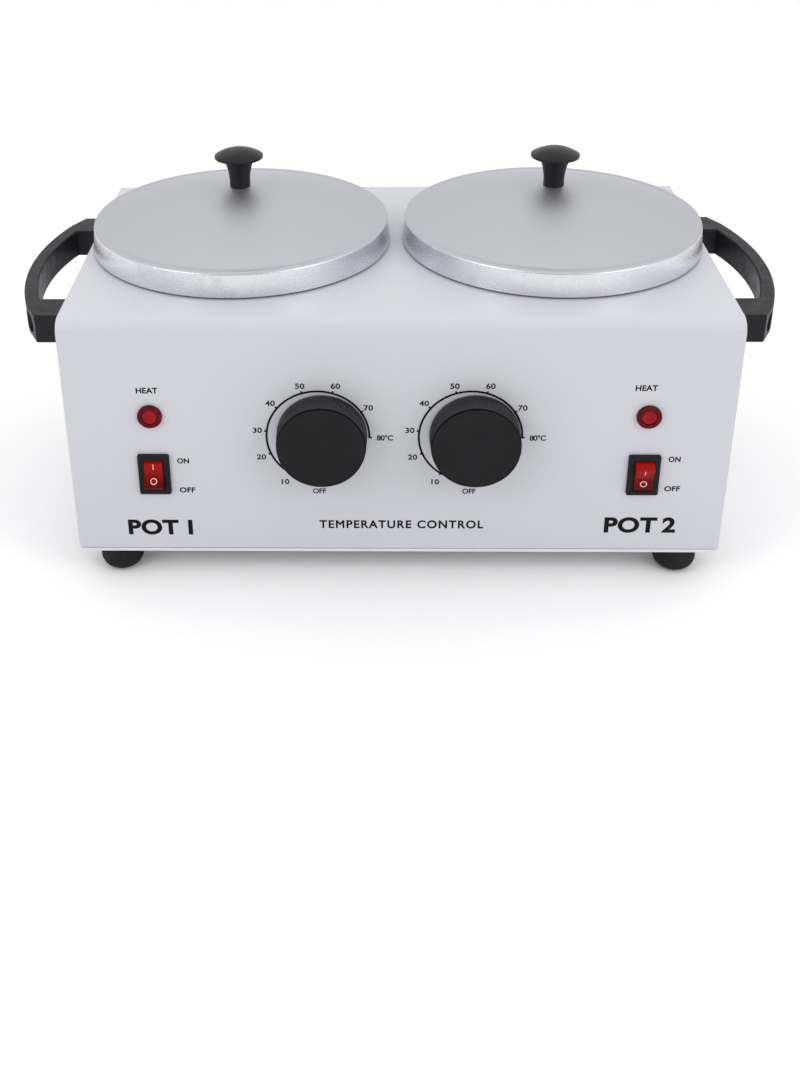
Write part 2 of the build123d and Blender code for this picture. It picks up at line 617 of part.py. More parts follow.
def lid_cover(x):
    """A spun lid: a slightly flared skirt over the pot's rim, a narrow flat edge and a shallow dome."""
    skirt_z = LID_TOP - LID_HEIGHT
    inner_top = LID_TOP_RADIUS - LID_SHEET
    under_flat = LID_FLAT_RADIUS - 0.2
    bulge_x, bulge_z = DOME_BULGE
    outer_dome = ThreePointArc((LID_FLAT_RADIUS, LID_TOP), (bulge_x, LID_TOP + bulge_z),
                               (LID_SEAT_RADIUS, LID_SEAT))
    inner_dome = ThreePointArc((LID_SEAT_RADIUS, LID_SEAT - LID_SHEET), (bulge_x, RIM_TOP + bulge_z),
                               (under_flat, RIM_TOP))
    outline = [
        Polyline((inner_top, RIM_TOP), (LID_RADIUS - LID_SHEET, skirt_z), (LID_RADIUS, skirt_z),
                 (LID_TOP_RADIUS, LID_TOP), (LID_FLAT_RADIUS, LID_TOP)),
        outer_dome,
        Polyline((LID_SEAT_RADIUS, LID_SEAT), (SCREW_HOLE, LID_SEAT), (SCREW_HOLE, LID_SEAT - LID_SHEET),
                 (LID_SEAT_RADIUS, LID_SEAT - LID_SHEET)),
        inner_dome,
        Line((under_flat, RIM_TOP), (inner_top, RIM_TOP)),
    ]
    section = make_face(outline)
    shoulder = section.vertices().sort_by_distance(Vector(LID_TOP_RADIUS, LID_TOP))[0]
    section = fillet(shoulder, LID_EDGE)
    return Pos(x, POT_Y, 0) * revolve(Plane.XZ * section, Axis.Z)


def lid_knob(x):
    """A mushroom knob: a flared stem under a thin-edged domed cap, with a blind screw hole."""
    bore = SCREW_RADIUS + 0.1
    stem = Spline((KNOB_FOOT, 1.5), (KNOB_WAIST, 7.0), (KNOB_NECK, KNOB_NECK_Z))
    under = ThreePointArc(stem @ 1, (9.4, KNOB_CAP_Z), (LID_KNOB_RADIUS, KNOB_RIM_Z))
    dome_rise = LID_KNOB_HEIGHT - KNOB_EDGE_Z
    dome_radius = (LID_KNOB_RADIUS ** 2 + dome_rise ** 2) / (2 * dome_rise)
    half_angle = asin(LID_KNOB_RADIUS / dome_radius) / 2
    dome_middle = (dome_radius * sin(half_angle), LID_KNOB_HEIGHT - dome_radius * (1 - cos(half_angle)))
    crown = ThreePointArc((LID_KNOB_RADIUS, KNOB_EDGE_Z), dome_middle, (0, LID_KNOB_HEIGHT))
    outline = [
        Polyline((0, KNOB_BORE_DEPTH), (bore, KNOB_BORE_DEPTH), (bore, 0), (KNOB_FOOT, 0), (KNOB_FOOT, 1.5)),
        stem,
        under,
        Line(under @ 1, crown @ 0),
        crown,
        Line(crown @ 1, (0, KNOB_BORE_DEPTH)),
    ]
    return Pos(x, POT_Y, LID_SEAT) * revolve(Plane.XZ * make_face(outline), Axis.Z)


def lid_screw(x):
    start = (x, POT_Y, LID_SEAT - LID_SHEET - LID_WASHER - SCREW_HEAD_HEIGHT)
    return large_screw(start, (x, POT_Y, LID_SEAT + KNOB_BORE_DEPTH - 1.5))


def lid_washer(x):
    high = LID_SEAT - LID_SHEET
    low = high - LID_WASHER
    return turned([(SCREW_HOLE, low), (LID_WASHER_RADIUS, low), (LID_WASHER_RADIUS, high), (SCREW_HOLE, high)],
                  x, POT_Y)


# ---- dials ----
def dial_knob(x):
    """A round control knob with a hollow back and a boss for the D-shaped spindle."""
    base = Plane(origin=(x, FRONT_Y - DIAL_GAP, DIAL_Z), z_dir=(0, -1, 0))
    tip = Plane(origin=(x, FRONT_Y - CONTROL_REACH, DIAL_Z), z_dir=(0, -1, 0))
    body = loft([base * Circle(DIAL_BASE_RADIUS), tip * Circle(DIAL_RADIUS)])
    body = fillet(body.edges().group_by(Axis.Y)[0], 1.0)
    hollow = front_rod(DIAL_RADIUS - DIAL_WALL, x, DIAL_Z, 0, CONTROL_REACH - DIAL_FACE)
    boss = front_rod(6.5, x, DIAL_Z, DIAL_GAP, CONTROL_REACH - DIAL_FACE)
    bore = spindle_section(x, SHAFT_RADIUS + RUNNING_GAP, DIAL_GAP - 1, CONTROL_REACH - 3)
    return body - (hollow - boss) - bore


def spindle_section(x, radius, inner, outer):
    """A D-shaped bar normal to the front panel."""
    flat = block((x - radius, FRONT_Y - outer, DIAL_Z - radius),
                 (x + radius, FRONT_Y - inner, DIAL_Z - radius * 0.55))
    return front_rod(radius, x, DIAL_Z, inner, outer) - flat


def dial_spindle(x):
    round_end = front_rod(SHAFT_RADIUS, x, DIAL_Z, -11, 0)
    return round_end + spindle_section(x, SHAFT_RADIUS, 0, CONTROL_REACH - 3.1)


def build():
    os.makedirs("parts", exist_ok=True)
    save("housing_wrap", housing_wrap())
    save_pair("side_panel", side_panel())
    save("base_tray", base_tray())
    for row, y in (("front", -FOOT_Y), ("rear", FOOT_Y)):
        for side, x in (("left", -FOOT_X), ("right", FOOT_X)):
            save(f"foot_{row}_{side}", foot(x, y))
    save("foot_screws", *foot_screws())
    save("foot_nuts", *foot_nuts())
    save("base_screws", *base_screws())
    save_pair("handle", handle())
    save("handle_screws", *handle_screws())
    save("handle_nuts", *handle_nuts())
    save_pair("capillary", capillary())
    save("band_bolts", *band_bolts())
    save("thermostat_screws", *thermostat_screws())
    save("bulb_clips", bulb_clip(-POT_X), bulb_clip(POT_X))
    save("switch_terminals", *switch_terminals())
    save("lamp_nuts", *lamp_nuts())
    save("cable_gland", cable_gland())
    save("gland_nut", gland_nut())
    save("terminal_block", terminal_block())
    save("earth_stud", earth_stud())
    save("earth_nut", earth_nut())
    for name, side in (("left", -1), ("right", 1)):
        save(f"heater_well_{name}", heater_well(side * POT_X))
        save(f"heating_band_{name}", heating_band(side * POT_X))
        save(f"insulation_{name}", insulation(side * POT_X))
        save(f"thermal_fuse_{name}", thermal_fuse(side * POT_X))
        save(f"thermostat_body_{name}", thermostat_body(side * DIAL_X))
        save(f"switch_housing_{name}", switch_housing(side * SWITCH_X))
        save(f"rocker_{name}", rocker(side * SWITCH_X, side * ROCKER_TILT))
        save(f"lamp_body_{name}", lamp_body(side * SWITCH_X))
        save(f"lamp_lens_{name}", lamp_lens(side * SWITCH_X))
        save(f"wax_pot_{name}", wax_pot(side * POT_X))
        save(f"lid_cover_{name}", lid_cover(side * POT_X))
        save(f"lid_knob_{name}", lid_knob(side * POT_X))
        save(f"lid_screw_{name}", lid_screw(side * POT_X))
        save(f"lid_washer_{name}", lid_washer(side * POT_X))
        save(f"dial_knob_{name}", dial_knob(side * DIAL_X))
        save(f"dial_spindle_{name}", dial_spindle(side * DIAL_X))


build()
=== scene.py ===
"""Looks of the double pot wax warmer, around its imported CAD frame. Metres, front towards -Y."""
import json
from math import cos, pi, radians, sin, tau

import bmesh
import bpy
from mathutils import Matrix, Vector


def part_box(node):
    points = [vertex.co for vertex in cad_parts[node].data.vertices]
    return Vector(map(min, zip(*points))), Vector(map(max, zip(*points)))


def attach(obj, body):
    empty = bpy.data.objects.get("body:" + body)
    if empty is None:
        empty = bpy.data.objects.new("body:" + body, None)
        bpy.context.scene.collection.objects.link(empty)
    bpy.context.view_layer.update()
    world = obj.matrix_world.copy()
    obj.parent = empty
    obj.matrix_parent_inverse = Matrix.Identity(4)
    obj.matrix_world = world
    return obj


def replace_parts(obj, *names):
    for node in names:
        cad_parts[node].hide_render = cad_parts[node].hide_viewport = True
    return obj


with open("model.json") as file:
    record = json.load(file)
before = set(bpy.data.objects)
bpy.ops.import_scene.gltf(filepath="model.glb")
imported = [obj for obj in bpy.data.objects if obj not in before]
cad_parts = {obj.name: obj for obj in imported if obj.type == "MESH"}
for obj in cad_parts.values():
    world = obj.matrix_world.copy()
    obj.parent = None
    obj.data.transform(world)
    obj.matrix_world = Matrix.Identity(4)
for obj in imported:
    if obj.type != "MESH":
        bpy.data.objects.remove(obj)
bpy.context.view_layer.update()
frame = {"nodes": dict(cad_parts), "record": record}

MM = 0.001
SIDES = ("left", "right")

# ---- places read from the frame ----
FRONT_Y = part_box("housing_wrap")[0][1]
TRAY_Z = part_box("base_tray")[0][2]

# ---- printing ----
INK = 0.06 * MM
CAP_RATIO = 0.73
SCALE = (("80", -1), ("70", 33), ("60", 73), ("50", 107), ("40", 141), ("30", 173), ("20", 202), ("10", 236),
         ("OFF", 267))
SCALE_RADIUS = 24.0 * MM
SCALE_SHIFT = (-1.9 * MM, -1.4 * MM)
SCALE_STEPS = 120
TICK = 1.2 * MM
LINE = 1.0 * MM
TICK_LINE = 0.85 * LINE
DIGIT = 2.8 * MM
DIGIT_REACH = 28.9 * MM
DIGIT_REACH_DROP = 0.9 * MM
TOP_LABEL_REACH = 31.0 * MM
HEAT_SIZE = 2.9 * MM
SWITCH_WORD_SIZE = 2.8 * MM
ON_SHIFT = 14.0 * MM
OFF_DROP = 16.2 * MM

# ---- dial knobs ----
TEETH = 52
STEPS = TEETH * 12
SERRATION = 0.32 * MM
TOOTH = 0.6 * MM
TOOTH_SHARPNESS, TOOTH_SHARE = 3.2, 0.6
DIAL_TAPER = 0.5 * MM
DIAL_HOLLOW = 9.0 * MM

# ---- rocker marks ----
ROCKER_TILT = {"left": -12.0, "right": 12.0}
ROCKER_SLOPE = 12.0
ROCKER_WAIST = 3.5 * MM
MARK_STEPS = 40

# ---- stage ----
FLOOR_MARGIN = 30.0
SKY_HORIZON, SKY_ZENITH, SKY_FRONT = 0.86, 1.2, 0.5
LIGHT_TARGET = (0, 0, 0.08)
SOFTBOX_SIZE = 0.7
SOFTBOXES = (("left_softbox", (-1.0, -0.9, 0.9), 4.0), ("right_softbox", (1.0, -0.9, 0.9), 4.5))
CAMERA_PLACE = (-9.87 * MM, -629.24 * MM, 395.27 * MM)
CAMERA_YAW, CAMERA_PITCH, CAMERA_ROLL = 0.0260, 0.4599, -0.0121
CAMERA_LENS = 44.12
CAMERA_SENSOR = 36
CAMERA_SHIFT = (0.0497, -0.1872)


def middle(node):
    """The centre of a node's box."""
    low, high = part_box(node)
    return (Vector(low) + Vector(high)) / 2


# ---- node materials ----
class Shader:
    """A Principled material built node by node."""

    def __init__(self, name, **values):
        self.material = bpy.data.materials.new(name)
        self.material.use_nodes = True
        self.nodes = self.material.node_tree.nodes
        self.links = self.material.node_tree.links
        self.principled = self.nodes["Principled BSDF"]
        self.coords = self.nodes.new("ShaderNodeTexCoord").outputs["Object"]
        for key, value in values.items():
            self.principled.inputs[key.replace("_", " ")].default_value = value

    def noise(self, scale, detail=3.0, roughness=0.5, stretch=None):
        """A noise value over object space, in repeats per metre."""
        node = self.nodes.new("ShaderNodeTexNoise")
        node.inputs["Scale"].default_value = scale
        node.inputs["Detail"].default_value = detail
        node.inputs["Roughness"].default_value = roughness
        self.links.new(self.stretched(stretch), node.inputs["Vector"])
        return node.outputs["Fac"]

    def stretched(self, stretch):
        if stretch is None:
            return self.coords
        mapping = self.nodes.new("ShaderNodeMapping")
        mapping.inputs["Scale"].default_value = stretch
        self.links.new(self.coords, mapping.inputs["Vector"])
        return mapping.outputs["Vector"]

    def ramp(self, value, low, high, start=0.3, end=0.7):
        """A colour that runs from low to high with the value."""
        node = self.nodes.new("ShaderNodeValToRGB")
        first, last = node.color_ramp.elements
        first.position, first.color = start, (*low, 1)
        last.position, last.color = end, (*high, 1)
        self.links.new(value, node.inputs["Fac"])
        return node.outputs["Color"]

    def spread(self, value, low, high, start=0.3, end=0.7):
        """The value mapped to a range."""
        node = self.nodes.new("ShaderNodeMapRange")
        node.inputs["From Min"].default_value = start
        node.inputs["From Max"].default_value = end
        node.inputs["To Min"].default_value = low
        node.inputs["To Max"].default_value = high
        self.links.new(value, node.inputs["Value"])
        return node.outputs["Result"]

    def blend(self, factor, low, high):
        """One value at factor 0 and another at factor 1."""
        node = self.nodes.new("ShaderNodeMix")
        self.links.new(factor, node.inputs["Factor"])
        self.links.new(low, node.inputs["A"])
        self.links.new(high, node.inputs["B"])
        return node.outputs["Result"]

    def colour(self, output):
        self.links.new(output, self.principled.inputs["Base Color"])
        return self

    def rough(self, output):
        self.links.new(output, self.principled.inputs["Roughness"])
        return self

    def axes(self, output):
        """A texture coordinate split into its three axes."""
        node = self.nodes.new("ShaderNodeSeparateXYZ")
        self.links.new(self.nodes.new("ShaderNodeTexCoord").outputs[output], node.inputs["Vector"])
        return node.outputs

    def math(self, operation, *values):
        """A math node over the values."""
        node = self.nodes.new("ShaderNodeMath")
        node.operation = operation
        for value, socket in zip(values, node.inputs):
            self.links.new(value, socket)
        return node.outputs["Value"]

    def bump(self, *layers):
        """Bump layers as (value, height in metres), chained."""
        normal = None
        for value, height in layers:
            node = self.nodes.new("ShaderNodeBump")
            node.inputs["Strength"].default_value = 1.0
            node.inputs["Distance"].default_value = height
            self.links.new(value, node.inputs["Height"])
            if normal is not None:
                self.links.new(normal, node.inputs["Normal"])
            normal = node.outputs["Normal"]
        self.links.new(normal, self.principled.inputs["Normal"])
        return self


def paint(name, low, high, roughness=0.42):
    """Stove enamel on sheet steel: slight cloudiness and orange peel."""
    shader = Shader(name, Coat_Weight=0.2, Coat_Roughness=0.14)
    cloud = shader.noise(9.0, 4.0)
    peel = shader.noise(900.0, 2.0)
    fleck = shader.noise(5200.0, 1.0)
    shader.colour(shader.ramp(cloud, low, high, 0.25, 0.75))
    shader.rough(shader.spread(fleck, roughness - 0.05, roughness + 0.06))
    return shader.bump((peel, 0.00003), (fleck, 0.000008)).material


def moulded(name, low, high, roughness=0.45, grain=2600.0, depth=0.00002, gloss=0.5):
    """Moulded plastic with a fine grain and faint clouding."""
    shader = Shader(name, Specular_IOR_Level=gloss)
    grain_value = shader.noise(grain, 3.0, 0.6)
    cloud = shader.noise(60.0, 3.0)
    shader.colour(shader.ramp(cloud, low, high))
    shader.rough(shader.spread(shader.noise(180.0, 4.0), roughness - 0.07, roughness + 0.09))
    return shader.bump((grain_value, depth)).material


def metal(name, low, high, rough_low, rough_high, grain=1800.0):
    """Bare metal with fine grain in its colour, gloss and surface."""
    shader = Shader(name, Metallic=1.0)
    fine = shader.noise(grain, 4.0, 0.65)
    cloud = shader.noise(22.0, 4.0)
    shader.colour(shader.ramp(cloud, low, high))
    shader.rough(shader.spread(fine, rough_low, rough_high))
    return shader.bump((fine, 0.00002)).material


def rubber():
    shader = Shader("foot_rubber_mat", Specular_IOR_Level=0.2)
    dust = shader.noise(90.0, 5.0)
    fine = shader.noise(2400.0, 3.0)
    shader.colour(shader.ramp(dust, (0.007, 0.007, 0.008), (0.014, 0.014, 0.015)))
    shader.rough(shader.spread(fine, 0.62, 0.82))
    return shader.bump((fine, 0.00004)).material


def translucent(name, low, high, roughness, glow, painted_shade_below=False):
    """Red plastic with flow marks, lit a little from within and, if asked, painted darker towards its lower part
    as shade.
    """
    shader = Shader(name, Subsurface_Weight=0.2, Subsurface_Scale=0.002, Specular_IOR_Level=0.09)
    flow = shader.noise(420.0, 3.0)
    tone = flow
    if painted_shade_below:
        # Painted shade: the colour runs darker towards the bottom of the part, mixed with the flow marks.
        tone = shader.blend(shader.spread(flow, 0.1, 0.4), shader.axes("Generated")["Z"], flow)
    shader.colour(shader.ramp(tone, low, high))
    shader.rough(shader.spread(shader.noise(1500.0, 2.0), roughness, roughness + 0.12))
    shader.principled.inputs["Emission Color"].default_value = (*high, 1)
    shader.principled.inputs["Emission Strength"].default_value = glow
    return shader.bump((shader.noise(2600.0, 2.0), 0.00001)).material


def lid_metal():
    """Satin spun aluminium: an even matt top and a glossier, scuffed skirt, whose colour is painted brighter than
    the top's as sheen and mottled with darker scuff patches.
    """
    shader = Shader("lid_aluminium_mat", Metallic=1.0)
    upward = shader.axes("Normal")["Z"]
    fine = shader.noise(3800.0, 4.0, 0.7)
    patch = shader.noise(30.0, 4.0, 0.6)
    scuff = shader.noise(900.0, 5.0, 0.7, (1.0, 1.0, 2.0))
    gloss = shader.spread(scuff, 0.24, 0.34)
    satin = shader.spread(fine, 0.46, 0.54)
    shader.rough(shader.blend(shader.spread(upward, 0.0, 1.0, 0.35, 0.75), gloss, satin))
    # Painted sheen: surfaces that face sideways, the skirt, get a brighter colour than the top, mottled darker by
    # the scuff patches.
    flat = shader.spread(upward, 1.0, 0.0, 0.35, 0.75)
    wear_and_painted_sheen = shader.spread(shader.noise(18.0, 7.0, 0.65), 0.95, 0.5, 0.44, 0.62)
    bright = shader.math("MULTIPLY_ADD", wear_and_painted_sheen, flat, shader.spread(patch, 0.0, 0.12))
    shader.colour(shader.ramp(bright, (0.500, 0.500, 0.550), (0.74, 0.74, 0.79)))
    marks = shader.math("MULTIPLY", scuff, flat)
    return shader.bump((fine, 0.000012), (marks, 0.00006)).material


def fibre():
    shader = Shader("insulation_fibre_mat", Sheen_Weight=0.4)
    wool = shader.noise(700.0, 6.0, 0.75)
    shader.colour(shader.ramp(wool, (0.62, 0.58, 0.50), (0.86, 0.84, 0.78)))
    shader.rough(shader.spread(wool, 0.85, 0.98))
    return shader.bump((wool, 0.0006)).material


def build_materials():
    black = (0.0055, 0.0053, 0.0072)
    dark = (0.0100, 0.0096, 0.0130)
    return {
        "case_paint": paint("case_paint_mat", (0.550, 0.550, 0.612), (0.572, 0.572, 0.636)),
        "tray_paint": paint("tray_paint_mat", (0.66, 0.66, 0.70), (0.71, 0.71, 0.75)),
        "foot_rubber": rubber(),
        "zinc_screws": metal("zinc_screws_mat", (0.62, 0.62, 0.60), (0.76, 0.76, 0.72), 0.25, 0.42),
        "handle_plastic": moulded("handle_plastic_mat", (0.0085, 0.0080, 0.0105), (0.0130, 0.0124, 0.0160), 0.42,
                                  gloss=0.2),
        "well_aluminium": metal("well_aluminium_mat", (0.70, 0.70, 0.71), (0.80, 0.80, 0.81), 0.25, 0.4, 900.0),
        "band_steel": metal("band_steel_mat", (0.40, 0.36, 0.32), (0.62, 0.61, 0.60), 0.3, 0.5, 700.0),
        "insulation_fibre": fibre(),
        "capillary_copper": metal("capillary_copper_mat", (0.66, 0.34, 0.20), (0.80, 0.48, 0.34), 0.22, 0.4),
        "fuse_ceramic": moulded("fuse_ceramic_mat", (0.74, 0.71, 0.62), (0.84, 0.82, 0.76), 0.25, 900.0),
        "thermostat_body": moulded("thermostat_body_mat", (0.66, 0.62, 0.50), (0.74, 0.71, 0.60), 0.45),
        "switch_plastic": moulded("switch_plastic_mat", black, dark, 0.36, gloss=0.15),
        # The rocker's lower part is painted darker as shade.
        "rocker_red": translucent("rocker_red_mat", (0.09, 0.004, 0.004), (0.30, 0.005, 0.003), 0.2, 0.01,
                                  painted_shade_below=True),
        "terminal_brass": metal("terminal_brass_mat", (0.66, 0.52, 0.28), (0.80, 0.66, 0.40), 0.25, 0.42),
        "lamp_ring_red": translucent("lamp_ring_red_mat", (0.07, 0.003, 0.005), (0.12, 0.005, 0.008), 0.16, 0.01),
        "lamp_lens_red": translucent("lamp_lens_red_mat", (0.22, 0.006, 0.009), (0.32, 0.010, 0.014), 0.2, 0.05),
        "gland_nylon": moulded("gland_nylon_mat", black, dark, 0.5),
        "terminal_block": moulded("terminal_block_mat", (0.74, 0.74, 0.71), (0.82, 0.82, 0.80), 0.4),
        "pot_aluminium": metal("pot_aluminium_mat", (0.72, 0.72, 0.73), (0.82, 0.82, 0.83), 0.24, 0.38, 1100.0),
        "lid_aluminium": lid_metal(),
        "lid_knob_plastic": moulded("lid_knob_plastic_mat", black, dark, 0.34, 1900.0, 0.00004, gloss=0.24),
        "dial_plastic": moulded("dial_plastic_mat", (0.0070, 0.0068, 0.0082), (0.0100, 0.0097, 0.0114), 0.5,
                                gloss=0.15),
        "spindle_brass": metal("spindle_brass_mat", (0.66, 0.52, 0.28), (0.80, 0.66, 0.40), 0.2, 0.36),
    }


def printed(name, low, high):
    """Screen printing ink, faintly uneven."""
    shader = Shader(name, Specular_IOR_Level=0.1)
    shader.colour(shader.ramp(shader.noise(800.0, 4.0), low, high))
    shader.rough(shader.spread(shader.noise(2500.0, 2.0), 0.4, 0.6))
    return shader.bump((shader.noise(3000.0, 2.0), 0.000005)).material


MATERIALS = build_materials()
BLACK_INK = printed("black_ink_mat", (0.003, 0.003, 0.005), (0.007, 0.007, 0.010))
PINK_INK = printed("pink_ink_mat", (0.80, 0.42, 0.38), (0.90, 0.58, 0.54))
# A lighter copy of the dial plastic for the ribbed side: painted light, as if the ribs catch light from above.
DIAL_SIDE_PAINTED_LIGHT = moulded("dial_side_painted_light_mat", (0.012, 0.0115, 0.0135), (0.018, 0.0172, 0.0200), 0.42, 1400.0, 0.00005,
                    gloss=0.3)
# A darker copy for the toothed bevel round the rim: painted shade in the groove.
DIAL_GROOVE_PAINTED_SHADE = moulded("dial_groove_painted_shade_mat", (0.002, 0.0018, 0.003), (0.004, 0.0036, 0.005), 0.6, 1400.0, 0.00005,
                      gloss=0.06)


def dress_nodes():
    """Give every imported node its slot's material."""
    for part in frame["record"]["subparts"]:
        for slot in frame["nodes"][part["node"]].material_slots:
            slot.material = MATERIALS[part["material_slot"]]


# ---- pieces ----
def add_piece(name, mesh, material, body, smooth=True):
    """A visible piece that rides a body and wears the given material."""
    piece = bpy.data.objects.new(name, mesh)
    bpy.context.collection.objects.link(piece)
    mesh.materials.clear()
    mesh.materials.append(material)
    for face in mesh.polygons:
        face.use_smooth = smooth
    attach(piece, body)
    return piece


def mesh_from(name, builder):
    """A mesh filled by a bmesh function."""
    form = bmesh.new()
    builder(form)
    bmesh.ops.recalc_face_normals(form, faces=form.faces)
    mesh = bpy.data.meshes.new(name)
    form.to_mesh(mesh)
    form.free()
    return mesh


# ---- printing on the front panel ----
def text_mesh(name, words, size, wide=1.0, weight=0.0, spacing=1.0, gap=1.0):
    """Flat lettering in the XZ plane, centred, cap height equal to size, strokes thickened by weight a side."""
    curve = bpy.data.curves.new(name, "FONT")
    curve.body = words
    curve.size = size / CAP_RATIO
    curve.align_x = "CENTER"
    curve.space_character = spacing
    curve.space_word = gap
    curve.extrude = INK / 2
    curve.bevel_depth = weight
    curve.bevel_resolution = 0
    holder = bpy.data.objects.new(name, curve)
    bpy.context.collection.objects.link(holder)
    bpy.context.view_layer.update()
    mesh = bpy.data.meshes.new_from_object(holder.evaluated_get(bpy.context.evaluated_depsgraph_get()))
    bpy.data.objects.remove(holder)
    mesh.transform(Matrix.Diagonal((wide, 1, INK / (INK + 2 * weight), 1)))
    mesh.transform(Matrix.Rotation(pi / 2, 4, "X"))
    return mesh


def print_words(name, words, x, z, size, **style):
    """Words whose bottom centre is at (x, z) on the front panel."""
    mesh = text_mesh(name, words, size, **style)
    mesh.transform(Matrix.Translation((x, FRONT_Y - INK / 2, z)))
    add_piece(name, mesh, BLACK_INK, "case", smooth=False)


def bar(form, start, end, width, depth):
    """A flat printed bar between two (x, z) points."""
    run = Vector(end) - Vector(start)
    side = Vector((-run.y, run.x)).normalized() * width / 2
    corners = [Vector(start) - side, Vector(end) - side, Vector(end) + side, Vector(start) + side]
    near = [form.verts.new((c.x, depth, c.y)) for c in corners]
    far = [form.verts.new((c.x, depth - INK, c.y)) for c in corners]
    form.faces.new(near)
    form.faces.new(list(reversed(far)))
    for i in range(4):
        form.faces.new((near[i], near[i - 1], far[i - 1], far[i]))


def ring_band(form, centre, radius, width, start, end, depth, steps):
    """A printed arc between two angles, counter-clockwise from +X seen from the front."""
    rows = []
    for i in range(steps + 1):
        angle = start + (end - start) * i / steps
        row = []
        for r, y in ((radius - width / 2, depth), (radius + width / 2, depth),
                     (radius + width / 2, depth - INK), (radius - width / 2, depth - INK)):
            row.append(form.verts.new((centre[0] + r * cos(angle), y, centre[1] + r * sin(angle))))
        rows.append(row)
    for a, b in zip(rows, rows[1:]):
        for i in range(4):
            form.faces.new((a[i - 1], a[i], b[i], b[i - 1]))
    form.faces.new(rows[0])
    form.faces.new(list(reversed(rows[-1])))


def print_dial_scale(side):
    """An arc with a tick and a label at each temperature."""
    knob = middle(f"dial_knob_{side}")
    centre = (knob.x + SCALE_SHIFT[0], knob.z + SCALE_SHIFT[1])

    def lines(form):
        ring_band(form, centre, SCALE_RADIUS, LINE, radians(SCALE[0][1]), radians(SCALE[-1][1]), FRONT_Y,
                  SCALE_STEPS)
        for _, degrees in SCALE:
            ray = Vector((cos(radians(degrees)), sin(radians(degrees))))
            start = Vector(centre) + ray * (SCALE_RADIUS - LINE / 2)
            bar(form, start, start + ray * (TICK + LINE / 2), TICK_LINE, FRONT_Y)

    add_piece(f"dial_scale_{side}", mesh_from(f"dial_scale_{side}", lines), BLACK_INK, "case",
              smooth=False)
    for label, degrees in SCALE:
        angle = radians(degrees)
        reach = DIGIT_REACH - DIGIT_REACH_DROP * sin(angle)
        words, shift, style = label, 0.3 * MM, {"wide": 1.14, "spacing": 1.04}
        if label == "80":
            words, reach, style = "80°C", TOP_LABEL_REACH, {"wide": 1.02, "spacing": 0.92}
        if label == "OFF":
            shift, style = 1.7 * MM, {"wide": 0.98, "spacing": 0.96}
        if label == "70":
            shift = -0.3 * MM
        x = centre[0] + reach * cos(angle) + shift
        z = centre[1] + reach * sin(angle) - DIGIT / 2
        print_words(f"dial_{label}_{side}", words, x, z, DIGIT, weight=0.00010, **style)


def print_legends():
    """The words beside the lamps and switches and along the bottom of the panel."""
    small = {"weight": 0.00013, "spacing": 1.04}
    offsets = (("left", -0.6, 12.0, 50.0, 15.0), ("right", -2.4, 13.4, 51.2, 14.3))
    for side, heat_x, heat_z, on_z, off_x in offsets:
        lamp = middle(f"lamp_lens_{side}")
        switch_x = middle(f"switch_housing_{side}").x
        on_height = TRAY_Z + on_z * MM
        print_words(f"legend_heat_{side}", "HEAT", lamp.x + heat_x * MM, lamp.z + heat_z * MM, HEAT_SIZE, **small)
        print_words(f"legend_on_{side}", "ON", switch_x + ON_SHIFT, on_height, SWITCH_WORD_SIZE,
                    wide=0.93, **small)
        print_words(f"legend_off_{side}", "OFF", switch_x + off_x * MM, on_height - OFF_DROP, SWITCH_WORD_SIZE,
                    wide=1.08, **small)
    large = {"wide": 1.1, "weight": 0.00045, "spacing": 1.06, "gap": 0.6}
    print_words("legend_pot_left", "POT 1", -113.9 * MM, TRAY_Z + 10.0 * MM, 8.2 * MM, **large)
    print_words("legend_pot_right", "POT 2", 116.0 * MM, TRAY_Z + 11.8 * MM, 8.4 * MM, **large)
    print_words("legend_middle", "TEMPERATURE CONTROL", 1.8 * MM, TRAY_Z + 13.7 * MM, 4.5 * MM,
                wide=0.96, weight=0.00018, spacing=1.18)


def lathe(form, centre, rings, closed_at):
    """Rows of points round the Y axis: each ring gives a depth and a radius for an angle."""
    rows = []
    for depth, radius in rings:
        row = []
        for i in range(STEPS):
            angle = tau * i / STEPS
            reach = radius(angle) if callable(radius) else radius
            row.append(form.verts.new((centre[0] + reach * cos(angle), depth, centre[1] + reach * sin(angle))))
        rows.append(row)
    for a, b in zip(rows, rows[1:]):
        for i in range(STEPS):
            form.faces.new((a[i - 1], a[i], b[i], b[i - 1]))
    tip = form.verts.new((centre[0], closed_at, centre[1]))
    for i in range(STEPS):
        form.faces.new((rows[-1][i - 1], rows[-1][i], tip))
    return rows[0]


